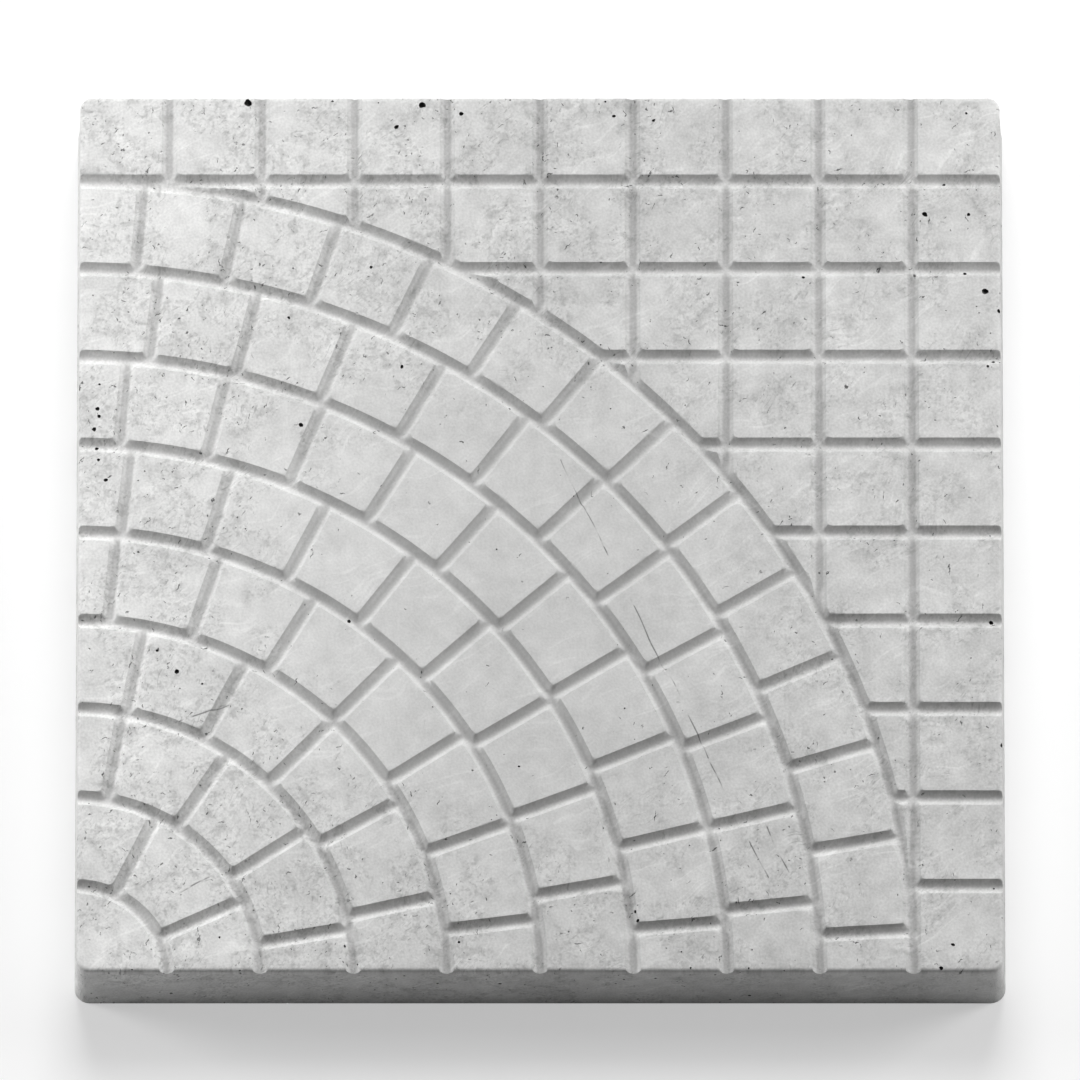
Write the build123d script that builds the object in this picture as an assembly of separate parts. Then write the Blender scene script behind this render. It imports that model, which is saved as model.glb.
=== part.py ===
from build123d import *
from math import atan2, cos, degrees, floor, pi, sin, sqrt
import os

# Concrete paving slab, in millimetres, lying on its bed with the patterned face up.
# The origin is the middle of the bed. The quarter circles are centred on the corner at -X, -Y.

# Driving dimensions
SETT_PITCH = 40.0
SETTS_PER_SIDE = 10
THICKNESS = 40.0
SIDE_DRAFT = 1.5
FACE_CORNER_RADIUS = 5.0
ARRIS_RADIUS = 2.0
GROOVE_WIDTH = 7.0
GROOVE_DEPTH = 3.5
SETT_LENGTH = 40.6

# Straight grooves are this much shallower than the ring grooves that they run into
JOINT_RISE = 0.25

# Length of the cut sett that starts each course, from the second ring outwards
FIRST_SETTS = (26.0, 17.5, 31.0, 22.5, 39.0, 22.0, 31.0, 19.0)

# Sizes that follow from them
SIDE = SETT_PITCH * SETTS_PER_SIDE
FACE_SIDE = SIDE - 2 * SIDE_DRAFT
BED_CORNER_RADIUS = FACE_CORNER_RADIUS + SIDE_DRAFT
RING_COUNT = SETTS_PER_SIDE - 1
OUTER_RING_RADIUS = RING_COUNT * SETT_PITCH
WALL_SLOPE = GROOVE_DEPTH / (GROOVE_WIDTH / 2)
JOINT_DEPTH = GROOVE_DEPTH - JOINT_RISE
QUARTER_TURN = 90.0

# Reach of the groove cutters past the face, past the sides and past the quarter turn
OVERCUT = 2.0
OVERTURN = 5.0

CIRCLE_CENTRE = Pos(-SIDE / 2, -SIDE / 2, 0)


def blank():
    """The slab before its grooves: drafted sides, rounded corners and a rounded arris."""
    bed = RectangleRounded(SIDE, SIDE, BED_CORNER_RADIUS)
    face = Pos(0, 0, THICKNESS) * RectangleRounded(FACE_SIDE, FACE_SIDE, FACE_CORNER_RADIUS)
    body = loft([bed, face], ruled=True)
    return fillet(body.edges().group_by(Axis.Z)[-1], ARRIS_RADIUS)


def groove_section(depth):
    """The V of a groove in the XZ plane, its walls carried on above the face."""
    top = THICKNESS + OVERCUT
    half_width = (depth + OVERCUT) / WALL_SLOPE
    corners = [(0, THICKNESS - depth), (half_width, top), (-half_width, top)]
    return make_face(Plane.XZ * Polyline(*corners, close=True))


def ring_groove(radius):
    """A groove round the circle centre, a little longer than the quarter turn."""
    start = Rot(0, 0, -OVERTURN) * Pos(radius, 0, 0) * groove_section(GROOVE_DEPTH)
    return revolve(start, Axis.Z, QUARTER_TURN + 2 * OVERTURN)


def straight_groove(start, end):
    """A groove from one point to another, both measured from the circle centre."""
    run_x = end[0] - start[0]
    run_y = end[1] - start[1]
    bar = extrude(groove_section(JOINT_DEPTH), amount=sqrt(run_x**2 + run_y**2), dir=(0, 1, 0))
    return Pos(*start, 0) * Rot(0, 0, degrees(atan2(run_y, run_x)) - QUARTER_TURN) * bar


def joint_places(ring):
    """Distances of a course's joints along its middle, none within a groove of the far side."""
    length = (ring - 0.5) * SETT_PITCH * pi / 2
    first = FIRST_SETTS[(ring - 2) % len(FIRST_SETTS)]
    count = floor((length - GROOVE_WIDTH - first) / SETT_LENGTH) + 1
    return [first + i * SETT_LENGTH for i in range(count)]


def ring_joint(ring, place):
    """A radial groove that runs from one ring groove to the next."""
    heading = place / ((ring - 0.5) * SETT_PITCH)
    ends = [(ring - 1) * SETT_PITCH, ring * SETT_PITCH]
    start, end = [(radius * cos(heading), radius * sin(heading)) for radius in ends]
    return straight_groove(start, end)


def grid_grooves():
    """The square grid, which stops at the outer ring groove or runs beside it."""
    far = SIDE + OVERCUT
    inside = extrude(Circle(OUTER_RING_RADIUS), amount=THICKNESS + 2 * OVERCUT)
    grooves = []
    for i in range(1, SETTS_PER_SIDE):
        place = i * SETT_PITCH
        for start, end in [((place, 0), (place, far)), ((0, place), (far, place))]:
            groove = straight_groove(start, end)
            grooves.append(groove if i == RING_COUNT else groove - inside)
    return grooves


def slab():
    """The finished slab."""
    cutters = [ring_groove(ring * SETT_PITCH) for ring in range(1, RING_COUNT + 1)]
    for ring in range(2, RING_COUNT + 1):
        cutters += [ring_joint(ring, place) for place in joint_places(ring)]
    cutters += grid_grooves()
    return blank() - [CIRCLE_CENTRE * cutter for cutter in cutters]


os.makedirs("parts", exist_ok=True)
part = slab()
export_step(part, "parts/slab.step")
print("slab", len(part.solids()), "solid, valid", part.is_valid, "volume", round(part.volume), "mm3")
print("size", part.bounding_box().size)
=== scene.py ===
# %% [markdown]
# # A cast paving slab, from joint lines to finished concrete
#
# The object is one concrete slab, poured face down in a mould whose ribs leave joints in its face.
# The joints part the face into setts: courses that follow quarter circles round one corner, and a
# square grid beyond them. The lesson lays out the joint lines, meshes the blank between them, lets
# Geometry Nodes press the joints and open the air holes, and then mixes the concrete.

from functools import partial
from math import ceil, cos, pi, radians, sin

import bpy
import numpy as np
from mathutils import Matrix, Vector
from mathutils.geometry import delaunay_2d_cdt


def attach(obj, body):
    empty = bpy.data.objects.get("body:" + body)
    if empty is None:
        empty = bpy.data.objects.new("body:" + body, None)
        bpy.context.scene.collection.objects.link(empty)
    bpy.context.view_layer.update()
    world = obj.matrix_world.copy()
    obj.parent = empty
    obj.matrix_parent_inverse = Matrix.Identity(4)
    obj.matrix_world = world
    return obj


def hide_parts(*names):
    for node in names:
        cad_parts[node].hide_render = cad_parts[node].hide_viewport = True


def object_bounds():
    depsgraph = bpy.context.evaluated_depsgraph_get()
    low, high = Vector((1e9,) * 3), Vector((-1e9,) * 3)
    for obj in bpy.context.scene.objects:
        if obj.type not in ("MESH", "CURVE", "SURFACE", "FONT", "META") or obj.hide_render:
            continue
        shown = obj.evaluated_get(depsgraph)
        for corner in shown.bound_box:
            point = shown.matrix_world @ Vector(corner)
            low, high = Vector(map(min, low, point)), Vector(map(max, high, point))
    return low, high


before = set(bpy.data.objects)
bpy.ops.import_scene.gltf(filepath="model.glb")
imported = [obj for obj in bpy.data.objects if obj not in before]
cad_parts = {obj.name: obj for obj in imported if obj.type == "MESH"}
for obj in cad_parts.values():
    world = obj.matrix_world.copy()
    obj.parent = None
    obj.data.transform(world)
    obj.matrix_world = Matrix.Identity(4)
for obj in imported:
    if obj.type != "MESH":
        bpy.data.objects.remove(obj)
cad_box = [list(corner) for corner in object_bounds()]
print("solid slab from", np.round(cad_box[0], 4), "to", np.round(cad_box[1], 4))

# %% [markdown]
# ## Sizes
#
# The real slab is measured in millimetres, and Blender works in metres. A mould maker would write
# down few sizes: the pitch of the setts, the section of the joint and the rounding of the edges.
# The side and the thickness are read from the frame, so that the visible slab fits the solid one.

# %% Sizes of the slab and of its joints
MM = 0.001
SIDE = cad_box[1][0] - cad_box[0][0]
THICKNESS = cad_box[1][2] - cad_box[0][2]
SETTS_PER_SIDE = 10
SETT_PITCH = SIDE / SETTS_PER_SIDE
RING_COUNT = SETTS_PER_SIDE - 1
OUTER_RING = RING_COUNT * SETT_PITCH
SETT_LENGTH = 40.6 * MM
FIRST_SETTS = [length * MM for length in (26, 17.5, 31, 22.5, 39, 22, 31, 19)]
GROOVE_WIDTH = 7.0 * MM
GROOVE_DEPTH = 3.5 * MM
ARRIS_RADIUS = 2.0 * MM
SIDE_DRAFT = 1.5 * MM
BED_CORNER_RADIUS = 6.5 * MM

RIM_INSET = SIDE_DRAFT * (1 - ARRIS_RADIUS / THICKNESS)
RIM_RADIUS = BED_CORNER_RADIUS - RIM_INSET
CORE_HALF = SIDE / 2 - BED_CORNER_RADIUS
print("slab", round(SIDE / MM), "mm wide, setts", round(SETT_PITCH / MM), "mm")

# %% [markdown]
# ## The joint pattern as a distance
#
# Every joint has the same section, so one number tells how deep the face lies at any point: the
# distance to the nearest joint line. It could be read off drawn curves, but the pattern follows a
# rule, and a rule can be worked out for a hundred thousand points at once. Rings are equal steps of
# radius. In each course the joints are equal steps of arc, after one cut sett. The grid starts
# outside. Where two joints are nearly as near, a little blend rounds the ridge between them.


# %% Distance to the nearest joint line
def nearest_line(values, count):
    """Distance to the nearest of the lines at one pitch, two pitches and so on."""
    index = np.clip(np.round(values / SETT_PITCH), 1, count)
    return np.abs(values - index * SETT_PITCH)


def course_joints(ring):
    """Angles of the joints in one course, none within a groove of the slab's far side."""
    middle = (ring - 0.5) * SETT_PITCH
    first = FIRST_SETTS[ring - 2]
    steps = int((middle * pi / 2 - GROOVE_WIDTH - first) / SETT_LENGTH)
    return (first + SETT_LENGTH * np.arange(steps + 1)) / middle


def nearer(one, other, blend):
    """The smaller of two distances, a little smaller still where they are nearly equal."""
    smaller = np.minimum(one, other)
    if blend:
        smaller -= np.maximum(blend - np.abs(one - other), 0) ** 2 / (4 * blend)
    return smaller


def joint_distance(points, blend=0.0):
    """Distance of each point of the face to the nearest joint line."""
    u, v = (points + SIDE / 2).T
    radius = np.hypot(u, v)
    angle = np.arctan2(v, u)
    nearest = nearest_line(radius, RING_COUNT)
    grid = nearer(nearest_line(u, RING_COUNT), nearest_line(v, RING_COUNT), blend)
    outside = radius >= OUTER_RING
    nearest[outside] = nearer(nearest, grid, blend)[outside]
    for ring in range(2, RING_COUNT + 1):
        inside = (radius >= (ring - 1) * SETT_PITCH) & (radius < ring * SETT_PITCH)
        turns = np.abs(angle[inside, None] - course_joints(ring)[None, :]).min(axis=1)
        nearest[inside] = nearer(nearest[inside], radius[inside] * np.sin(turns), blend)
    return nearest


joint_total = sum(len(course_joints(ring)) for ring in range(2, RING_COUNT + 1))
print("rings", RING_COUNT, "joints across the courses", joint_total)

# %% [markdown]
# ## Rows of points along every joint
#
# A plain square mesh would turn the round joints into stairs. So rows of points run beside each
# joint line: one in the valley, some up the wall and a few round the shoulder, where the shape
# turns fastest. Where two joints meet, a row stops at the mitre, the line that is equally far from
# both. That point is found by halving the last step until it no longer matters.

# %% Joint lines with their sideways direction
ROW_OFFSETS = np.array([0, 0.8, 1.5, 2.1, 2.6, 3.0, 3.3, 3.9, 5.2]) * MM
STEP_ALONG = 2.4 * MM


def ring_line(radius):
    """Points and outward directions along one ring."""
    count = ceil(radius * pi / 2 / STEP_ALONG) + 1
    angles = np.linspace(0, pi / 2, count)
    out = np.column_stack([np.cos(angles), np.sin(angles)])
    return out * radius - SIDE / 2, out


def straight_line(start, end):
    """Points and sideways directions along a straight joint, measured from the ring centre."""
    start = np.array(start)
    run = np.array(end) - start
    length = np.hypot(*run)
    share = np.linspace(0, 1, ceil(length / STEP_ALONG) + 1)[:, None]
    side = np.array([-run[1], run[0]]) / length
    return start + share * run - SIDE / 2, np.tile(side, (len(share), 1))


def joint_lines():
    """Every joint line of the face."""
    lines = [ring_line(ring * SETT_PITCH) for ring in range(1, RING_COUNT + 1)]
    for ring in range(2, RING_COUNT + 1):
        for angle in course_joints(ring):
            heading = np.array([cos(angle), sin(angle)]) * SETT_PITCH
            lines.append(straight_line(heading * (ring - 1), heading * ring))
    for place in np.arange(1, SETTS_PER_SIDE) * SETT_PITCH:
        begin = max(OUTER_RING**2 - place**2, 0) ** 0.5
        lines.append(straight_line((place, begin), (place, SIDE)))
        lines.append(straight_line((begin, place), (SIDE, place)))
    return lines


lines = joint_lines()
print("joint lines", len(lines), "with", sum(len(points) for points, _ in lines), "stations")


# %% Rows that stop at the mitres
HALVINGS = 18
ROW_SLACK = 0.02 * MM


def edge_distance(points, radius=RIM_RADIUS):
    """Distance in from a rounded-square outline round the core."""
    past = np.abs(points) - CORE_HALF
    outside = np.hypot(*np.maximum(past, 0).T)
    return radius - outside - np.minimum(past.max(axis=1), 0)


def holds_row(points, offset):
    """True where a row is still beside its own joint and inside the rounded arris."""
    own = joint_distance(points) >= offset - ROW_SLACK
    return own & (edge_distance(points) > ARRIS_RADIUS + 0.4 * MM)


def row_points(row, offset):
    """A row's points, cut where it meets another joint's row."""
    kept = holds_row(row, offset)
    changes = np.flatnonzero(kept[1:] != kept[:-1])
    good = np.where(kept[changes, None], row[changes], row[changes + 1])
    bad = np.where(kept[changes, None], row[changes + 1], row[changes])
    for _ in range(HALVINGS):
        middle = (good + bad) / 2
        inside = holds_row(middle, offset)[:, None]
        good = np.where(inside, middle, good)
        bad = np.where(inside, bad, middle)
    return np.vstack([row[kept], good])


rows = []
for points, side in lines:
    for offset in ROW_OFFSETS:
        for way in (1, -1) if offset else (1,):
            rows.append(row_points(points + side * offset * way, offset))
groove_points = np.vstack(rows)
print("points beside the joints", len(groove_points))

# %% [markdown]
# ## Ridges beside the outer ring
#
# Where the grid runs into the outer ring at a narrow angle, thin wedges of concrete stand between
# two joints. Their ridge is easily worked out, because a point as far from the ring as from the
# grid line lies on a circle and on a parallel at once. Points along the ridges keep them straight.
# A ridge that another joint crosses is split there, so that no edge bridges that joint.

# %% Ridges between the outer ring and the grid
RIDGE_STEPS = 64


def ridge_runs(place, way):
    """Unbroken ridges on one side of a grid line, as far from it as from the outer ring."""
    away = ROW_OFFSETS[-1] * np.linspace(0, 1, RIDGE_STEPS)[1:] ** 2
    across = place + way * away
    along = np.sqrt(np.maximum((OUTER_RING + away) ** 2 - across**2, 0))
    points = np.column_stack([along, across]) - SIDE / 2
    kept = np.flatnonzero(holds_row(points, away))
    breaks = np.flatnonzero(np.diff(kept) > 1) + 1
    return np.split(points[kept], breaks)


ridges = []
for place in np.arange(1, SETTS_PER_SIDE) * SETT_PITCH:
    for way in (1, -1) if place < OUTER_RING - MM else (-1,):
        for ridge in ridge_runs(place, way):
            ridges += [ridge, ridge[:, ::-1]]
ridge_points = np.vstack(ridges)
print("ridges", len(ridges), "with", len(ridge_points), "points")

# %% [markdown]
# ## Stations round the edge
#
# The bed, the sides and the rounded arris are rounded squares about the same core, so each station
# round the edge is a point of that core and a direction outwards. A smaller radius gives the next
# row in. Beside a joint the stations repeat the offsets of its rows, so that the joint runs out
# through the arris and leaves a clean notch in the side, as the rib of a mould does.

# %% Stations round the edge
STATION_STEP = 2.5 * MM
CORNER_TURNS = 7
ARRIS_ANGLES = np.radians([0, 22.5, 45, 67.5, 90])


def side_places():
    """Places along one straight side, crowded where a joint runs out."""
    offsets = np.concatenate([-ROW_OFFSETS[:0:-1], ROW_OFFSETS])
    joints = np.arange(1, SETTS_PER_SIDE) * SETT_PITCH - SIDE / 2
    crowded = (joints[:, None] + offsets).ravel()
    even = np.linspace(-CORE_HALF, CORE_HALF, ceil(2 * CORE_HALF / STATION_STEP) + 1)
    gap = np.abs(even[:, None] - joints).min(axis=1)
    return np.sort(np.concatenate([even[gap > ROW_OFFSETS[-1] + STATION_STEP / 3], crowded]))


def edge_stations():
    """Core points and outward directions, counter-clockwise round the slab."""
    places = side_places()
    cores = []
    outward = []
    for turn in np.arange(4) * pi / 2:
        spin = np.array([[cos(turn), sin(turn)], [-sin(turn), cos(turn)]])
        cores.append(np.column_stack([places, np.full(len(places), -CORE_HALF)]) @ spin)
        outward.append(np.tile([0.0, -1.0], (len(places), 1)) @ spin)
        angles = np.linspace(-pi / 2, 0, CORNER_TURNS)[1:-1] + turn
        cores.append(np.tile([CORE_HALF, -CORE_HALF], (len(angles), 1)) @ spin)
        outward.append(np.column_stack([np.cos(angles), np.sin(angles)]))
    return np.vstack(cores), np.vstack(outward)


edge_core, edge_out = edge_stations()


def edge_row(inset):
    """One row of points round the slab, inset from the bed's outline."""
    return edge_core + edge_out * (BED_CORNER_RADIUS - inset)


arris_insets = RIM_INSET + ARRIS_RADIUS * (1 - np.cos(ARRIS_ANGLES))
arris_points = np.vstack([edge_row(inset) for inset in arris_insets])
print("stations round the edge", len(edge_core), "in", len(arris_insets), "arris rows")

# %% [markdown]
# ## The blank
#
# Between the joints a loose, staggered field of points is enough. All points together are joined by
# a Delaunay triangulation, which makes the least stretched triangles, with the rim and the ridges
# held as edges. The sides are rows of quads, and the bed is a second triangulation. Each vertex
# stores what the next step needs: its distance to a joint, its distance to the edge and its share
# of the height.

# %% Points between the joints
SETT_STEP = 4.2 * MM
BED_STEP = 7.0 * MM


def staggered(step, half):
    """A field of points in staggered rows, a little disturbed so that no row shows."""
    count = int(half / step)
    column, row = np.meshgrid(np.arange(-count, count + 1), np.arange(-count, count + 1))
    places = np.column_stack([(column + 0.5 * (row % 2)).ravel(), row.ravel()]) * step
    return places + np.random.default_rng(5).uniform(-0.2, 0.2, places.shape) * step


sett_points = staggered(SETT_STEP, SIDE / 2)
clear = joint_distance(sett_points) > ROW_OFFSETS[-1] + SETT_STEP * 0.4
sett_points = sett_points[clear & (edge_distance(sett_points) > ARRIS_RADIUS + SETT_STEP * 0.4)]
bed_points = staggered(BED_STEP, SIDE / 2)
bed_points = bed_points[edge_distance(bed_points, BED_CORNER_RADIUS) > BED_STEP / 2]
print("points between the joints", len(sett_points), "and on the bed", len(bed_points))

# %% Triangulate the face and the bed
MERGE_GRID = 0.25 * MM
INSIDE_EDGES = 1
SAME_PLACE = 1e-7


def apart(points, first):
    """Points with near doubles dropped, the first few always kept."""
    cells = np.round(points / MERGE_GRID).astype(int)
    _, index = np.unique(cells, axis=0, return_index=True)
    return points[np.union1d(index, np.arange(first))]


def pairs(run):
    """Each index of a run with the next one."""
    return np.column_stack([run[:-1], run[1:]])


def triangulate(points, edges):
    """Places and triangles inside the held edges, and where each given point went."""
    corners = [Vector(point) for point in points]
    made = delaunay_2d_cdt(corners, edges.tolist(), [], INSIDE_EDGES, SAME_PLACE)
    places, _, faces, origins, _, _ = made
    found = np.zeros(len(points), int)
    for i, sources in enumerate(origins):
        found[list(sources)] = i
    return np.array([tuple(place) for place in places]), np.array(faces), found


station_count = len(edge_core)
rim_edges = pairs(np.append(np.arange(station_count), 0))
ridge_ends = len(arris_points) + np.cumsum([len(ridge) for ridge in ridges])
ridge_edges = [pairs(np.arange(end - len(ridge), end)) for end, ridge in zip(ridge_ends, ridges)]

held = np.vstack([arris_points, ridge_points])
face_points = apart(np.vstack([held, groove_points, sett_points]), len(held))
face_places, face_faces, face_found = triangulate(face_points, np.vstack([rim_edges, *ridge_edges]))
bed_places, bed_faces, bed_found = triangulate(np.vstack([edge_row(0), bed_points]), rim_edges)
print("face triangles", len(face_faces), "bed triangles", len(bed_faces))

# %% Join face, sides and bed to a closed blank
SIDE_ROWS = 8
RIDGE_BLEND = 1.0 * MM

side_shares = np.linspace(1, 0, SIDE_ROWS + 1)[1:-1]
side_rows = [edge_row(RIM_INSET * share) for share in side_shares]
side_count = station_count * len(side_rows)
blank_places = np.vstack([face_places, *side_rows, bed_places])
bed_start = len(face_places) + side_count


def blank_faces():
    """Triangles of the face and the bed, and quads down the sides between them."""
    rings = [face_found[:station_count]]
    rings += list(np.arange(len(face_places), bed_start).reshape(-1, station_count))
    rings.append(bed_start + bed_found[:station_count])
    sides = []
    for upper, lower in zip(rings, rings[1:]):
        sides.append(np.column_stack([upper, lower, np.roll(lower, -1), np.roll(upper, -1)]))
    return face_faces.tolist() + np.vstack(sides).tolist() + (bed_faces[:, ::-1] + bed_start).tolist()


height_share = np.concatenate([np.ones(len(face_places)), np.repeat(side_shares, station_count),
                               np.zeros(len(bed_places))])
from_edge = np.concatenate([edge_distance(face_places), np.zeros(side_count),
                            edge_distance(bed_places, BED_CORNER_RADIUS)])
measures = {"joint_distance": joint_distance(blank_places, RIDGE_BLEND),
            "edge_distance": from_edge, "height_share": height_share}

blank = bpy.data.meshes.new("cast_slab")
blank.from_pydata(np.column_stack([blank_places, height_share * THICKNESS]).tolist(), [], blank_faces())
for name, values in measures.items():
    measure = blank.attributes.new(name, "FLOAT", "POINT")
    measure.data.foreach_set("value", values.astype(np.float32))
slab = bpy.data.objects.new("cast_slab", blank)
bpy.context.scene.collection.objects.link(slab)
print("blank", len(blank.vertices), "vertices", len(blank.polygons), "faces")

# %% [markdown]
# ## Building node trees in code
#
# A node tree is boxes and wires. A few small helpers keep the script readable: one adds a node and
# fills or wires its inputs, one adds a maths node, and one opens a Geometry Nodes tree with named
# inputs. A modifier's inputs are set by their identifiers, before the object is first evaluated.

# %% Helpers for node trees
SOCKET_KINDS = {float: "NodeSocketFloat", int: "NodeSocketInt", bpy.types.Object: "NodeSocketObject",
                bpy.types.Material: "NodeSocketMaterial"}


def add_node(tree, kind, inputs=None, **settings):
    """A node with its settings made, and its inputs filled with values or wired to sockets."""
    made = tree.nodes.new(kind)
    for name, value in settings.items():
        setattr(made, name, value)
    for key, value in (inputs or {}).items():
        if isinstance(value, bpy.types.NodeSocket):
            tree.links.new(value, made.inputs[key])
        else:
            made.inputs[key].default_value = value
    return made


def maths(tree, operation, *values):
    """The result of a maths node."""
    return add_node(tree, "ShaderNodeMath", dict(enumerate(values)), operation=operation).outputs[0]


def vectors(tree, operation, inputs, output=0):
    """The result of a vector maths node."""
    return add_node(tree, "ShaderNodeVectorMath", inputs, operation=operation).outputs[output]


def geometry_tree(name, values):
    """A Geometry Nodes tree with an input for each named value, and its two end nodes."""
    tree = bpy.data.node_groups.new(name, "GeometryNodeTree")
    for way in ("INPUT", "OUTPUT"):
        tree.interface.new_socket("Geometry", in_out=way, socket_type="NodeSocketGeometry")
    for label, value in values.items():
        tree.interface.new_socket(label, in_out="INPUT", socket_type=SOCKET_KINDS[type(value)])
    return tree, tree.nodes.new("NodeGroupInput").outputs, tree.nodes.new("NodeGroupOutput").inputs


def run_tree(target, tree, values):
    """A modifier that runs a tree on an object, with every named input set."""
    modifier = target.modifiers.new(tree.name, "NODES")
    modifier.node_group = tree
    for item in tree.interface.items_tree:
        if item.in_out == "INPUT" and item.name in values:
            modifier[item.identifier] = values[item.name]


print("node helpers ready")

# %% [markdown]
# ## What the mould is told
#
# The mould's ribs could be cut out with booleans, but then every shoulder would be knife sharp. A
# tree that works out the height instead can round everything, and its named inputs are the sizes
# that a mould maker would change. The largest air holes sit where they were seen, so their places,
# counted from the ring corner, and their radii are given. All others are scattered by a fixed seed.

# %% Largest air holes
LARGE_HOLES = [
    (149, 395, 1.5), (138, 385, 1.0), (166, 391, 1.0), (74, 396, 2.0), (8, 247, 1.1), (10, 253, 0.9),
    (9, 239, 0.9), (13, 224, 1.0), (97, 249, 1.1), (232, 390, 0.9), (249, 388, 0.9), (366, 345, 1.2),
    (385, 345, 0.9), (392, 310, 1.4), (398, 301, 1.1), (44, 137, 1.0), (394, 160, 1.0), (372, 3, 1.0),
]
hole_places = np.array(LARGE_HOLES) * MM

hole_mesh = bpy.data.meshes.new("large_holes")
above_face = np.full(len(hole_places), THICKNESS + 10 * MM)
hole_mesh.from_pydata(np.column_stack([hole_places[:, :2] - SIDE / 2, above_face]).tolist(), [], [])
hole_radii = hole_mesh.attributes.new("hole_radius", "FLOAT", "POINT")
hole_radii.data.foreach_set("value", hole_places[:, 2].astype(np.float32))
large_holes = bpy.data.objects.new("large_holes", hole_mesh)
bpy.context.scene.collection.objects.link(large_holes)
print("large holes", len(LARGE_HOLES))

# %% Tree with its named inputs
SHOULDER = 0.5 * MM

concrete = bpy.data.materials.new("fair_faced_concrete")
mould_values = {
    "Thickness": THICKNESS, "Arris Radius": ARRIS_RADIUS,
    "Groove Depth": GROOVE_DEPTH - SHOULDER, "Groove Width": GROOVE_WIDTH - SHOULDER,
    "Wall Curve": 1.9, "Shoulder": SHOULDER,
    "Joint Wander": 0.4 * MM, "Wander Length": 8 * MM, "Face Wave": 0.25 * MM, "Side Wave": 0.6 * MM,
    "Bed Wave": 0.7 * MM, "Wave Length": 30 * MM,
    "Hole Density": 3600.0, "Small Hole": 0.3 * MM, "Hole Range": 0.7 * MM, "Hole Rim": 24 * MM,
    "Chip Density": 4500.0, "Small Chip": 0.4 * MM, "Chip Range": 1.2 * MM, "Seed": 11,
    "Large Holes": large_holes, "Concrete": concrete,
}
mould, given, result = geometry_tree("moulded_slab", mould_values)
mould_node = partial(add_node, mould)
mould_maths = partial(maths, mould)
mould_vectors = partial(vectors, mould)
print("mould inputs", len(mould_values))

# %% [markdown]
# ## Pressing the joints
#
# Each joint is a V with a rounded valley: a power of the distance gives walls that steepen towards
# the face, and a smooth maximum rounds the shoulders. The arris is a quarter circle of the
# distance to the edge. A slow noise lets the joints wander and the face, the sides and the bed
# wave, as castings do.


# %% Measures and noise that the tree reads
def vertex_measure(name):
    """A measure that the blank stores on its vertices."""
    return mould_node("GeometryNodeInputNamedAttribute", {"Name": name}).outputs["Attribute"]


def lumps(length, detail, seed):
    """A noise from 0 to 1, whose lumps are about as long as given."""
    inputs = {"Vector": mould_node("GeometryNodeInputPosition").outputs[0], "W": seed,
              "Scale": mould_maths("DIVIDE", 1.0, length), "Detail": detail}
    return mould_node("ShaderNodeTexNoise", inputs, noise_dimensions="4D").outputs[0]


joint = vertex_measure("joint_distance")
edge = vertex_measure("edge_distance")
share = vertex_measure("height_share")
print("measures read", len(measures))

# %% Depth of the joints and of the rounded arris
wander = mould_maths("SUBTRACT", lumps(given["Wander Length"], detail=3.0, seed=1.3), 0.5)
from_joint = mould_maths("MULTIPLY_ADD", wander, given["Joint Wander"], joint)
from_joint = mould_maths("MAXIMUM", from_joint, 0.0)
half_width = mould_maths("MULTIPLY", given["Groove Width"], 0.5)
wall_rise = mould_maths("POWER", mould_maths("DIVIDE", from_joint, half_width), given["Wall Curve"])
wall_depth = mould_maths("MULTIPLY", mould_maths("SUBTRACT", 1.0, wall_rise), given["Groove Depth"])
groove = mould_maths("SMOOTH_MAX", wall_depth, 0.0, given["Shoulder"])

arris_radius = given["Arris Radius"]
into_arris = mould_maths("MAXIMUM", mould_maths("SUBTRACT", arris_radius, edge), 0.0)
into_arris = mould_maths("MINIMUM", into_arris, arris_radius)
square = mould_maths("MULTIPLY", arris_radius, arris_radius)
square = mould_maths("SUBTRACT", square, mould_maths("MULTIPLY", into_arris, into_arris))
arris = mould_maths("SUBTRACT", arris_radius, mould_maths("SQRT", square))
carved = mould_maths("SMOOTH_MAX", groove, arris, mould_maths("MULTIPLY", given["Shoulder"], 0.5))
print("joints and arris worked out")

# %% New heights, and sides that wave
face_wave = mould_maths("MULTIPLY", lumps(given["Wave Length"], detail=3.0, seed=4.1), given["Face Wave"])
face_height = mould_maths("SUBTRACT", mould_maths("SUBTRACT", given["Thickness"], carved), face_wave)
off_rim = mould_maths("MINIMUM", mould_maths("DIVIDE", edge, given["Thickness"]), 1.0)
bed_wave = mould_maths("MULTIPLY", lumps(given["Wave Length"], detail=5.0, seed=7.7), given["Bed Wave"])
bed_height = mould_maths("MULTIPLY", bed_wave, off_rim)
rest_share = mould_maths("SUBTRACT", 1.0, share)
height = mould_maths("MULTIPLY", share, face_height)
height = mould_maths("MULTIPLY_ADD", rest_share, bed_height, height)

here = mould_node("ShaderNodeSeparateXYZ", {0: mould_node("GeometryNodeInputPosition").outputs[0]})
new_place = mould_node("ShaderNodeCombineXYZ", {0: here.outputs[0], 1: here.outputs[1], 2: height})
raised = mould_node("GeometryNodeSetPosition",
                    {"Geometry": given["Geometry"], "Position": new_place.outputs[0]})

on_side = mould_maths("COMPARE", share, 0.5, 0.49)
pull = mould_maths("MULTIPLY", lumps(given["Wave Length"], detail=4.0, seed=2.9), given["Side Wave"])
outwards = mould_node("GeometryNodeInputNormal").outputs[0]
inwards = mould_vectors("SCALE", {0: outwards, "Scale": mould_maths("MULTIPLY", pull, -1.0)})
pressed = mould_node("GeometryNodeSetPosition", {
    "Geometry": raised.outputs[0], "Selection": on_side, "Offset": inwards}).outputs[0]
print("mould tree has", len(mould.nodes), "nodes")

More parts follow.
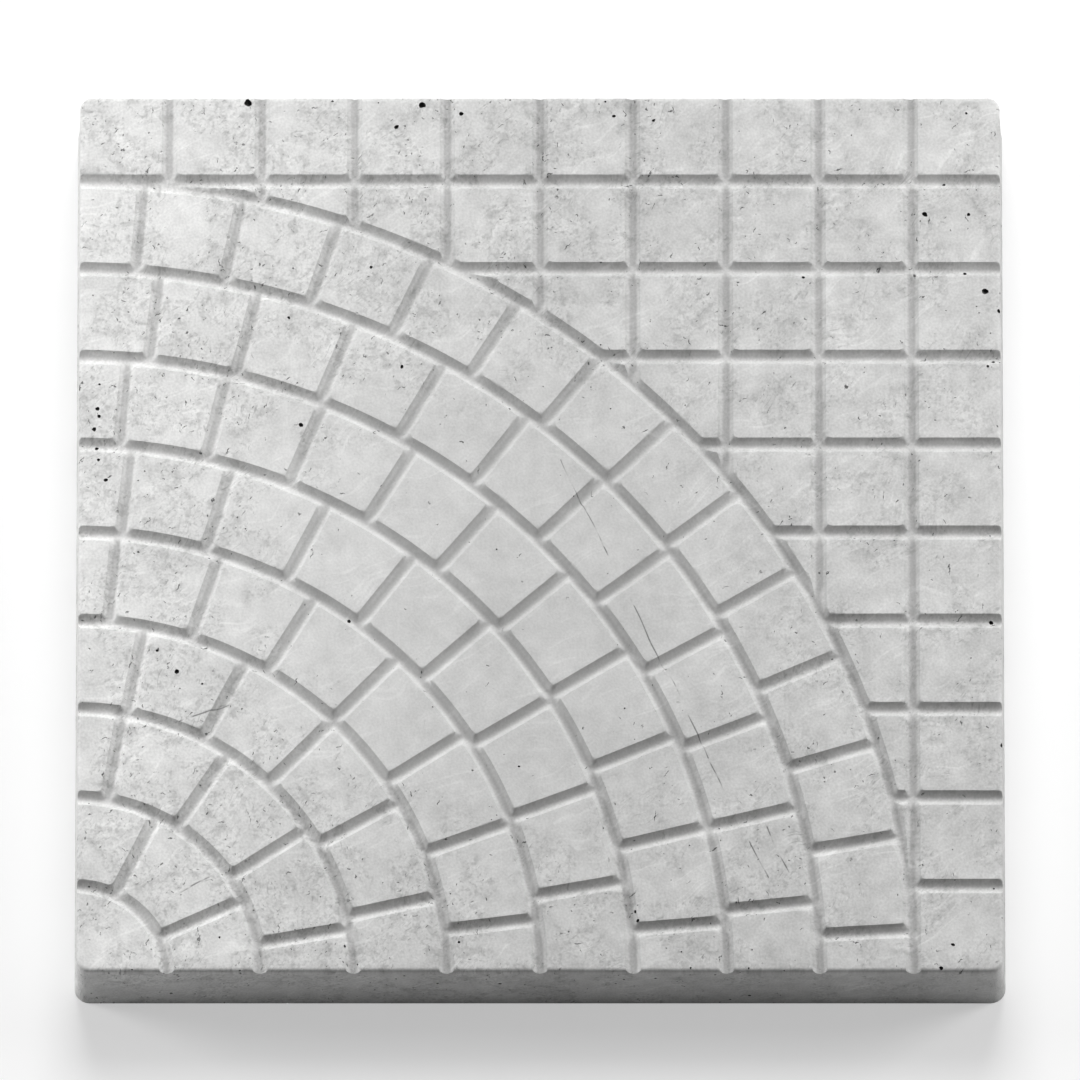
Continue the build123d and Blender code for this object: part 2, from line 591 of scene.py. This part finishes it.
# %% [markdown]
# ## Air holes and chips
#
# Air that is shaken out of the mix gathers along the mould's walls, and it leaves small round holes
# there. Edges also lose crumbs when the slab is lifted out. Both could be painted, but a real hole
# keeps its shadow in every light, so a lumpy ball is set on each place and cut out of the slab. The
# balls carry a mark on their faces, and the boolean hands it on, so the holes can be coloured later.

# %% Lumpy balls that cut the holes
DENT_SCALE = 1.4
STRETCH = (0.75, 1.2)


def lumpy_ball(mark):
    """A ball with an uneven surface, whose faces carry a mark."""
    ball = mould_node("GeometryNodeMeshIcoSphere", {"Radius": 1.0, "Subdivisions": 2}).outputs["Mesh"]
    place = mould_node("GeometryNodeInputPosition").outputs[0]
    dents = mould_node("ShaderNodeTexNoise", {"Vector": place, "Scale": DENT_SCALE}).outputs[0]
    swell = mould_vectors("SCALE", {0: place, "Scale": mould_maths("SUBTRACT", dents, 0.5)})
    ball = mould_node("GeometryNodeSetPosition", {"Geometry": ball, "Offset": swell}).outputs[0]
    return mould_node("GeometryNodeStoreNamedAttribute", {
        "Geometry": ball, "Name": "air_hole", "Value": mark}, domain="FACE").outputs[0]


def random_vector(low, high, seed):
    """A random vector for each point, every part of it between two numbers."""
    inputs = {0: (low,) * 3, 1: (high,) * 3, "Seed": seed}
    return mould_node("FunctionNodeRandomValue", inputs, data_type="FLOAT_VECTOR").outputs[0]


def cutters(points, ball, seed):
    """A ball on every point, turned at random and as large as the point says."""
    turn = random_vector(0.0, 2 * pi, seed)
    stretch = random_vector(*STRETCH, seed + 1)
    size = mould_vectors("SCALE", {0: stretch, "Scale": vertex_measure("hole_radius")})
    return mould_node("GeometryNodeInstanceOnPoints", {
        "Points": points, "Instance": ball, "Rotation": turn, "Scale": size}).outputs[0]


def sized(points, least, spread, rise, normal, seed):
    """Points with a random radius, most of them small, moved along the normal by a share of it."""
    chance = mould_node("FunctionNodeRandomValue", {2: 0.0, 3: 1.0, "Seed": seed}).outputs[1]
    radius = mould_maths("MULTIPLY_ADD", mould_maths("POWER", chance, 3.0), spread, least)
    stored = mould_node("GeometryNodeStoreNamedAttribute", {
        "Geometry": points, "Name": "hole_radius", "Value": radius}, domain="POINT").outputs[0]
    shift = mould_vectors("SCALE", {0: normal, "Scale": mould_maths("MULTIPLY", radius, rise)})
    return mould_node("GeometryNodeSetPosition", {"Geometry": stored, "Offset": shift}).outputs[0]


hole_ball = lumpy_ball(1.0)
chip_ball = lumpy_ball(0.0)
print("balls ready")

# %% Places of the holes
PATCH_LIMIT = 0.47
CHANCE_OFF_RIM = 0.13
HOLE_SINK = 0.2
LARGE_HOLE_SINK = 0.25
HOLE_SIZE_SEED = 21

near_rim = mould_maths("SUBTRACT", 1.0, mould_maths("DIVIDE", edge, given["Hole Rim"]))
near_rim = mould_maths("POWER", mould_maths("MAXIMUM", near_rim, 0.0), 2.0)
in_patch = lumps(given["Wave Length"], detail=1.0, seed=8.8)
in_patch = mould_maths("GREATER_THAN", in_patch, PATCH_LIMIT)
hole_chance = mould_maths("MULTIPLY", mould_maths("ADD", near_rim, CHANCE_OFF_RIM), in_patch)
scattered = mould_node("GeometryNodeDistributePointsOnFaces", {
    "Mesh": pressed, "Selection": mould_maths("GREATER_THAN", share, 0.05),
    "Density": mould_maths("MULTIPLY", hole_chance, given["Hole Density"]), "Seed": given["Seed"]})
small_holes = sized(scattered.outputs["Points"], given["Small Hole"], given["Hole Range"],
                    -HOLE_SINK, scattered.outputs["Normal"], HOLE_SIZE_SEED)

seen = mould_node("GeometryNodeObjectInfo", {"Object": given["Large Holes"]}).outputs["Geometry"]
seen = mould_node("GeometryNodeMeshToPoints", {"Mesh": seen}).outputs[0]
landing = mould_node("GeometryNodeRaycast", {"Target Geometry": pressed, "Ray Direction": (0, 0, -1)})
sunk = mould_maths("MULTIPLY", vertex_measure("hole_radius"), -LARGE_HOLE_SINK)
sunk = mould_vectors("SCALE", {0: landing.outputs["Hit Normal"], "Scale": sunk})
placed = mould_node("GeometryNodeSetPosition", {
    "Geometry": seen, "Position": landing.outputs["Hit Position"], "Offset": sunk}).outputs[0]
print("mould tree has", len(mould.nodes), "nodes")

# %% Places of the chips
CHIP_RISE = 0.6
CHIP_SIZE_SEED = 31
CHIP_SEED_STEP = 5.0

from_shoulder = mould_maths("ABSOLUTE", mould_maths("SUBTRACT", joint, half_width))
on_edge = mould_maths("MINIMUM", from_shoulder, mould_maths("ABSOLUTE", edge))
on_edge = mould_maths("LESS_THAN", on_edge, given["Shoulder"])
on_face = mould_maths("GREATER_THAN", share, 0.99)
chipped = mould_node("GeometryNodeDistributePointsOnFaces", {
    "Mesh": pressed, "Selection": mould_maths("MULTIPLY", on_edge, on_face),
    "Density": given["Chip Density"], "Seed": mould_maths("ADD", given["Seed"], CHIP_SEED_STEP)})
chips = sized(chipped.outputs["Points"], given["Small Chip"], given["Chip Range"], CHIP_RISE,
              chipped.outputs["Normal"], CHIP_SIZE_SEED)
print("mould tree has", len(mould.nodes), "nodes")

# %% Cut them out, and run the tree
TURN_SEEDS = (41, 43, 45)

balls = mould_node("GeometryNodeJoinGeometry")
cut_sets = ((small_holes, hole_ball), (placed, hole_ball), (chips, chip_ball))
for (points, ball), seed in zip(cut_sets, TURN_SEEDS):
    mould.links.new(cutters(points, ball, seed), balls.inputs[0])
holed = mould_node("GeometryNodeMeshBoolean", {"Mesh 1": pressed, "Mesh 2": balls.outputs[0]},
                   operation="DIFFERENCE", solver="MANIFOLD").outputs["Mesh"]
whole = mould_node("GeometryNodeRealizeInstances", {"Geometry": holed}).outputs[0]
cast = mould_node("GeometryNodeSetMaterial", {"Geometry": whole, "Material": given["Concrete"]})
mould.links.new(cast.outputs[0], result[0])
run_tree(slab, mould, mould_values)
print("mould tree has", len(mould.nodes), "nodes")

# %% [markdown]
# ## From the mould to a plain mesh
#
# The modifier is live until it is evaluated, and the frame wants plain meshes. So the result is
# copied to a mesh of its own, and the modifier and the marker points go. The boolean leaves an
# empty material slot, so the list of materials is made anew. Smooth shading with sharp edges past
# forty degrees keeps the shoulders soft and the rims of the holes crisp.

# %% Turn the result into a plain mesh
SHARP_PAST = radians(40)

evaluated = slab.evaluated_get(bpy.context.evaluated_depsgraph_get())
cast_mesh = bpy.data.meshes.new_from_object(evaluated)
cast_mesh.name = "cast_slab"
slab.modifiers.clear()
slab.data = cast_mesh
bpy.data.meshes.remove(blank)
bpy.data.objects.remove(large_holes)

cast_mesh.materials.clear()
cast_mesh.materials.append(concrete)
cast_mesh.polygons.foreach_set("material_index", np.zeros(len(cast_mesh.polygons), np.int32))
cast_mesh.shade_smooth()
cast_mesh.set_sharp_from_angle(angle=SHARP_PAST)
cast_mesh.calc_loop_triangles()
print("slab", len(cast_mesh.loop_triangles), "triangles")

# %% [markdown]
# ## The concrete
#
# Fair-faced concrete is a plain light grey, but it is never even. It has clouds where the cement
# dried at another speed, a fine sandy grain, short dark strokes where fibres or release oil stuck
# to the face, a few hairlines and dark holes. A photograph could carry all that, but noise and
# Voronoi nodes on Object coordinates have no seams and no end. The patterns are flat, which renders
# quickly. So the sides are folded up into the plane of the face: each point moves along its normal
# by as much as it lies below the joints, and no stripes run down the sides. A shift puts the middle
# of the patterns a little towards the ring corner, where this slab is smoothest.

# %% Coordinates and clouds
PATTERN_SHIFT = Vector((24, 32, 0)) * MM

concrete.use_nodes = True
mix = concrete.node_tree
surface = mix.nodes["Principled BSDF"]
mix_node = partial(add_node, mix)
mix_maths = partial(maths, mix)
mix_vectors = partial(vectors, mix)

coordinates = mix_node("ShaderNodeTexCoord").outputs
x, y, z = mix_node("ShaderNodeSeparateXYZ", {0: coordinates["Object"]}).outputs
below_joints = mix_maths("MAXIMUM", mix_maths("SUBTRACT", THICKNESS - GROOVE_DEPTH, z), 0.0)
folded = mix_vectors("SCALE", {0: coordinates["Normal"], "Scale": below_joints})
folded = mix_vectors("ADD", {0: folded, 1: coordinates["Object"]})
flat = mix_vectors("MULTIPLY_ADD", {0: folded, 1: (1, 1, 0), 2: PATTERN_SHIFT})


def clouds(length, detail, seed, output=0, where=flat):
    """A noise whose clouds are about as long as given, as a number or as a colour."""
    moved = mix_vectors("ADD", {0: where, 1: (seed, -seed, 0)})
    inputs = {"Vector": moved, "Scale": 1 / length, "Detail": detail}
    return mix_node("ShaderNodeTexNoise", inputs, noise_dimensions="2D").outputs[output]


def between(value, low, high, first=0.0, last=1.0):
    """A smooth step from the first number to the last, as a value goes from low to high."""
    return mix_node("ShaderNodeMapRange", {
        "Value": value, "From Min": low, "From Max": high, "To Min": first, "To Max": last},
        interpolation_type="SMOOTHSTEP").outputs[0]


def swayed(length, seed, amount):
    """The flat coordinates, swayed by a slow noise."""
    noise = clouds(length, detail=1.0, seed=seed, output=1)
    sway = mix_vectors("SUBTRACT", {0: noise, 1: (0.5, 0.5, 0.5)})
    return mix_vectors("ADD", {0: flat, 1: mix_vectors("SCALE", {0: sway, "Scale": amount})})


def mesh_measure(name):
    """A number that the mesh carries."""
    return mix_node("ShaderNodeAttribute", attribute_name=name).outputs["Fac"]


slow_clouds = clouds(30 * MM, detail=2.0, seed=0.4)
quick_clouds = clouds(8 * MM, detail=3.0, seed=2.2)
grain = clouds(1.1 * MM, detail=2.0, seed=5.5)
print("clouds and grain ready")

# %% [markdown]
# ## Dark strokes
#
# Two kinds of strokes are mixed. One is a noise that is stretched along a slanting direction and
# cut off high, which leaves ragged, broken marks. The other has at most one stroke in each Voronoi
# cell: a thin ellipse round the cell's point, turned and stretched by the cell's random colour. A
# mask thins both out in the middle of the slab, where the mould was smoothest, and clusters them.

# %% Where the strokes are
bent = swayed(2.5 * MM, seed=3.1, amount=2.4 * MM)
drifted = swayed(28 * MM, seed=7.7, amount=20 * MM)
from_middle = mix_vectors("LENGTH", {0: flat}, "Value")
off_middle = between(from_middle, 50 * MM, 170 * MM, 0.15, 1.0)
clusters = between(clouds(20 * MM, detail=2.0, seed=6.3), 0.35, 0.62, 0.12, 1.0)
to_left = between(x, SIDE * 0.3, -SIDE * 0.4, 0.75, 1.6)
chance = mix_maths("MULTIPLY", mix_maths("MULTIPLY", off_middle, clusters), to_left)
print("stroke mask ready")


# %% Strokes and specks
def ragged(length, width, heading, low, high, seed):
    """Slanting, broken marks, as a mask."""
    turned = mix_node("ShaderNodeVectorRotate", {"Vector": drifted, "Angle": -heading},
                      rotation_type="Z_AXIS")
    narrow = mix_vectors("MULTIPLY", {0: turned.outputs[0], 1: (width / length, 1, 0)})
    return between(clouds(width, detail=2.0, seed=seed, where=narrow), low, high)


def strokes(cell, length, width, heading, spread, share, shift):
    """Short dark strokes, at most one in each cell, as a mask."""
    moved = mix_vectors("ADD", {0: bent, 1: (shift, -shift, 0)})
    cells = mix_node("ShaderNodeTexVoronoi", {"Vector": moved, "Scale": 1 / cell},
                     voronoi_dimensions="2D")
    away = mix_vectors("SUBTRACT", {0: moved, 1: cells.outputs["Position"]})
    first, second, third = mix_node("ShaderNodeSeparateColor", {0: cells.outputs["Color"]}).outputs
    turn = mix_maths("MULTIPLY_ADD", first, -spread, spread / 2 - heading)
    turned = mix_node("ShaderNodeVectorRotate", {"Vector": away, "Angle": turn}, rotation_type="Z_AXIS")
    along, across, _ = mix_node("ShaderNodeSeparateXYZ", {0: turned.outputs[0]}).outputs
    reach = mix_maths("MULTIPLY_ADD", second, 0.4 * length, 0.1 * length)
    along = mix_maths("POWER", mix_maths("DIVIDE", along, reach), 2.0)
    across = mix_maths("POWER", mix_maths("DIVIDE", across, width / 2), 2.0)
    mark = between(mix_maths("ADD", along, across), 1.0, 0.25)
    limit = mix_maths("MULTIPLY", chance, share)
    kept = between(third, limit, mix_maths("MULTIPLY", limit, 0.2))
    return mix_maths("MULTIPLY", mark, kept)


STROKE_KINDS = {
    "long": {"cell": 7 * MM, "length": 5.5 * MM, "width": 0.65 * MM, "heading": radians(52),
             "spread": radians(110), "share": 0.26, "shift": 0.31},
    "short": {"cell": 4 * MM, "length": 2.6 * MM, "width": 0.6 * MM, "heading": radians(50),
              "spread": radians(180), "share": 0.26, "shift": 0.73},
    "speck": {"cell": 5 * MM, "length": 1.2 * MM, "width": 0.9 * MM, "heading": 0.0,
              "spread": radians(180), "share": 0.34, "shift": 1.37},
}

dark_strokes = 0.0
for kind in STROKE_KINDS.values():
    dark_strokes = mix_maths("MAXIMUM", strokes(**kind), dark_strokes)
broken = between(clouds(0.9 * MM, detail=1.0, seed=9.1), 0.3, 0.5)
dark_strokes = mix_maths("MULTIPLY", dark_strokes, broken)
print("kinds of strokes", list(STROKE_KINDS))

# %% Softer marks
slanting = ragged(length=3.4 * MM, width=0.8 * MM, heading=radians(52), low=0.63, high=0.75, seed=7.7)
slanting = mix_maths("MULTIPLY", slanting, between(chance, 0.2, 0.75))
smudges = between(clouds(5 * MM, detail=2.0, seed=8.2), 0.5, 0.7)
smudges = mix_maths("MULTIPLY", smudges, between(chance, 0.15, 0.9))
mottling = between(clouds(1.9 * MM, detail=2.0, seed=3.7), 0.48, 0.72)
mottling = mix_maths("MULTIPLY", mottling, between(chance, 0.1, 0.9))
scuffs = ragged(length=30 * MM, width=2.2 * MM, heading=radians(28), low=0.56, high=0.75, seed=4.6)
scuffs = mix_maths("MULTIPLY", scuffs, slow_clouds)
print("concrete has", len(mix.nodes), "nodes")

# %% [markdown]
# ## Hairlines
#
# A few hairlines cross the setts, one of them long and broken. Each is the distance to a line from
# one point to another, in millimetres from the ring corner, so it needs no drawing. A little of the
# slow sway bends the lines, and a noise breaks them.

# %% Hairlines
HAIRLINES = [
    ((209, 233), (298, 44)), ((45, 115), (66, 122)), ((46, 37), (58, 44)), ((297, 68), (307, 46)),
]
HAIR_WIDTH = 0.5 * MM
HAIR_DRIFT = 0.15
RING_CENTRE = Vector((-SIDE / 2, -SIDE / 2, 0))


def hairline(start, end):
    """A thin line from one point of the face to another, as a mask."""
    first = Vector((*start, 0)) * MM + RING_CENTRE
    run = Vector((*end, 0)) * MM + RING_CENTRE - first
    from_first = mix_vectors("SUBTRACT", {0: face_place, 1: first})
    passed = mix_vectors("DOT_PRODUCT", {0: from_first, 1: run / run.length_squared}, "Value")
    passed = mix_maths("MINIMUM", mix_maths("MAXIMUM", passed, 0.0), 1.0)
    nearest = mix_vectors("SCALE", {0: run, "Scale": passed})
    gap = mix_vectors("LENGTH", {0: mix_vectors("SUBTRACT", {0: from_first, 1: nearest})}, "Value")
    return between(gap, HAIR_WIDTH, HAIR_WIDTH * 0.2)


drift = mix_vectors("SUBTRACT", {0: drifted, 1: flat})
drift = mix_vectors("SCALE", {0: drift, "Scale": HAIR_DRIFT})
seen_place = mix_node("ShaderNodeCombineXYZ", {0: x, 1: y}).outputs[0]
face_place = mix_vectors("ADD", {0: seen_place, 1: drift})
hairlines = 0.0
for start, end in HAIRLINES:
    hairlines = mix_maths("MAXIMUM", hairline(start, end), hairlines)
hairlines = mix_maths("MULTIPLY", hairlines, between(clouds(7 * MM, detail=2.0, seed=4.4), 0.33, 0.5))
hairlines = mix_maths("MULTIPLY", hairlines, mix_maths("GREATER_THAN", z, THICKNESS / 2))
print("hairlines", len(HAIRLINES))

# %% [markdown]
# ## Painted valley shade, dust and tone
#
# The joint valleys are darkened in the colour, partly as dust and partly as painted shade. The mesh still
# carries its distance to the joints, and that makes the mask. Then the tone is put together: clouds
# add to a middle grey and take from it, less so where the slab is smoothest and a little darker, the
# slab grows paler to one side as painted light, standing in for stronger light on that side, and every
# dark mark takes its share away.

# %% Painted shade and dust in the joints
in_joint = between(mesh_measure("joint_distance"), 2.2 * MM, 0.6 * MM)
on_face = between(mesh_measure("height_share"), 0.97, 1.0)
# Painted shade and dust: the valleys of the joints are darkened in the base colour.
valley_shade_and_dust = mix_maths("MULTIPLY", in_joint, on_face)
valley_shade_and_dust = mix_maths("MULTIPLY", valley_shade_and_dust, between(quick_clouds, 0.3, 0.7, 0.6, 1.0))
print("concrete has", len(mix.nodes), "nodes")

# %% Tone of the concrete
MIDDLE_GREY = 0.58
# Painted light: how much paler the left side is made.
PAINTED_LIGHT_LEFT = 0.27
DARKER_MIDDLE = 0.06
CALMER_MIDDLE = 0.35
CLOUDING = ((slow_clouds, 0.17), (quick_clouds, 0.2), (grain, 0.18), (scuffs, 0.1))
# The insides of the air holes are darkened almost to black, as dirt and painted shade.
DARKENING = ((valley_shade_and_dust, 0.12), (smudges, 0.17), (mottling, 0.17), (slanting, 0.24), (hairlines, 0.65),
             (dark_strokes, 0.85), (mesh_measure("air_hole"), 0.93))

clouding = mix_maths("MULTIPLY_ADD", off_middle, CALMER_MIDDLE, 1 - CALMER_MIDDLE)
tone = 0.0
for noise, strength in CLOUDING:
    tone = mix_maths("MULTIPLY_ADD", mix_maths("SUBTRACT", noise, 0.5), strength, tone)
tone = mix_maths("MULTIPLY_ADD", tone, clouding, MIDDLE_GREY)
# Painted light: the left side is made paler, standing in for stronger light from that side.
left_painted_light = between(x, SIDE * 0.1, -SIDE * 0.5, 1.0, 1.0 + PAINTED_LIGHT_LEFT)
tone = mix_maths("MULTIPLY", tone, left_painted_light)
darker = mix_maths("MULTIPLY_ADD", off_middle, DARKER_MIDDLE, 1 - DARKER_MIDDLE)
tone = mix_maths("MULTIPLY", tone, darker)
for mask, strength in DARKENING:
    tone = mix_maths("MULTIPLY", tone, mix_maths("MULTIPLY_ADD", mask, -strength, 1.0))
grey = mix_node("ShaderNodeCombineColor", {0: tone, 1: tone, 2: mix_maths("MULTIPLY", tone, 0.99)})
mix.links.new(grey.outputs[0], surface.inputs["Base Color"])
print("concrete has", len(mix.nodes), "nodes")

# %% [markdown]
# ## Roughness and grain
#
# The face took the smoothness of the mould, so it is matt with a slight sheen that comes and goes.
# Sand shows as a grain too fine for geometry, so it is bump. It grows coarser down the sides, and
# is coarsest on the bed, which was open when the slab was poured and only struck off.

# %% Roughness and grain
LEAST_ROUGHNESS = 0.58
ROUGHNESS_SPREAD = 0.25
SPECULAR_LEVEL = 0.35
GRAIN_HEIGHT = 0.06 * MM
BED_COARSENESS = 3.0
BUMP_STRENGTH = 0.8

roughness = mix_maths("MULTIPLY_ADD", quick_clouds, ROUGHNESS_SPREAD, LEAST_ROUGHNESS)
mix.links.new(roughness, surface.inputs["Roughness"])
surface.inputs["Specular IOR Level"].default_value = SPECULAR_LEVEL
coarse = mix_maths("MULTIPLY_ADD", mesh_measure("height_share"), 1 - BED_COARSENESS, BED_COARSENESS)
relief = mix_maths("MULTIPLY", mix_maths("MULTIPLY", grain, GRAIN_HEIGHT), coarse)
bump = mix_node("ShaderNodeBump", {"Height": relief, "Distance": 1.0, "Strength": BUMP_STRENGTH})
mix.links.new(bump.outputs[0], surface.inputs["Normal"])
print("concrete has", len(mix.nodes), "nodes")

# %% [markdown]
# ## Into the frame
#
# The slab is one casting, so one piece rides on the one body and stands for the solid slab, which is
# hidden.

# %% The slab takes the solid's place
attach(slab, "root")
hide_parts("slab")
print("pieces in the frame", slab.name)

# %% [markdown]
# ## Floor and light
#
# The slab lies on a pale floor. Light from straight above would hide the joints, so a large soft
# lamp stands beyond the far side, low enough to shade them from rim to rim, and two small low lamps
# at the left and the right do the same for the joints that run away from the camera. A weak sky
# fills the rest. The floor is lifted towards white for the camera alone, and it keeps the shadow.

# %% Floor
FLOOR_SIZE = 40.0
FLOOR_GREY = 0.9
FLOOR_ROUGHNESS = 0.9
FLOOR_LIFT = 0.45

floor_mesh = bpy.data.meshes.new("studio_floor")
half_floor = FLOOR_SIZE / 2
floor_corners = [(-half_floor, -half_floor, 0), (half_floor, -half_floor, 0),
                 (half_floor, half_floor, 0), (-half_floor, half_floor, 0)]
floor_mesh.from_pydata(floor_corners, [], [(0, 1, 2, 3)])
floor = bpy.data.objects.new("studio_floor", floor_mesh)
bpy.context.scene.collection.objects.link(floor)

floor_paint = bpy.data.materials.new("floor_paint")
floor_paint.use_nodes = True
coat = floor_paint.node_tree
coat_shader = coat.nodes["Principled BSDF"]
coat_shader.inputs["Base Color"].default_value = (FLOOR_GREY, FLOOR_GREY, FLOOR_GREY, 1)
coat_shader.inputs["Roughness"].default_value = FLOOR_ROUGHNESS
rays = add_node(coat, "ShaderNodeLightPath").outputs
seen_ray = maths(coat, "MAXIMUM", rays["Is Camera Ray"], rays["Is Glossy Ray"])
seen_ray = maths(coat, "MAXIMUM", seen_ray, rays["Is Transmission Ray"])
white = add_node(coat, "ShaderNodeEmission", {"Strength": 1.0})
lifted = add_node(coat, "ShaderNodeMixShader", {
    0: maths(coat, "MULTIPLY", seen_ray, FLOOR_LIFT), 1: coat_shader.outputs[0], 2: white.outputs[0]})
coat.links.new(lifted.outputs[0], coat.nodes["Material Output"].inputs["Surface"])
floor_mesh.materials.append(floor_paint)
print("floor", FLOOR_SIZE, "m wide")

# %% Sky and lamps
SKY_STRENGTH = 0.1
LAMPS = {
    "far_lamp": {"place": (0.0, 2.2, 2.1), "size": 1.9, "power": 91.0},
    "left_lamp": {"place": (-1.15, 0.15, 0.5), "size": 0.4, "power": 6.8},
    "right_lamp": {"place": (0.95, 0.15, 0.5), "size": 0.4, "power": 5.0},
}

sky = bpy.data.worlds.new("studio_sky")
bpy.context.scene.world = sky
sky.use_nodes = True
sky.node_tree.nodes["Background"].inputs["Color"].default_value = (1, 1, 1, 1)
sky.node_tree.nodes["Background"].inputs["Strength"].default_value = SKY_STRENGTH

for name, lamp in LAMPS.items():
    light = bpy.data.lights.new(name, "AREA")
    light.shape = "DISK"
    light.size = lamp["size"]
    light.energy = lamp["power"]
    holder = bpy.data.objects.new(name, light)
    holder.visible_camera = False
    holder.location = lamp["place"]
    holder.rotation_euler = (-Vector(lamp["place"])).to_track_quat("-Z", "Y").to_euler()
    bpy.context.scene.collection.objects.link(holder)
print("lamps", list(LAMPS))

# %% [markdown]
# ## Camera
#
# The picture was taken from far away with a long lens, square to one side and steeply from above,
# so that the slab's depth is foreshortened a little and its sides stay parallel.

# %% Camera
LENS = 1200.0
SENSOR = 36.0
VIEW_WIDTH = 0.465
ELEVATION = radians(71.3)
AIM = Vector((0, 0, 30 * MM))

camera_data = bpy.data.cameras.new("camera")
camera_data.lens = LENS
camera_data.sensor_width = SENSOR
camera_data.clip_end = 100.0
camera = bpy.data.objects.new("camera", camera_data)
back = Vector((0, -cos(ELEVATION), sin(ELEVATION)))
camera.location = AIM + back * VIEW_WIDTH * LENS / SENSOR
camera.rotation_euler = (-back).to_track_quat("-Z", "Y").to_euler()
bpy.context.scene.collection.objects.link(camera)
bpy.context.scene.camera = camera
bpy.context.scene.view_settings.view_transform = "Standard"
print("camera", round((camera.location - AIM).length, 2), "m away")
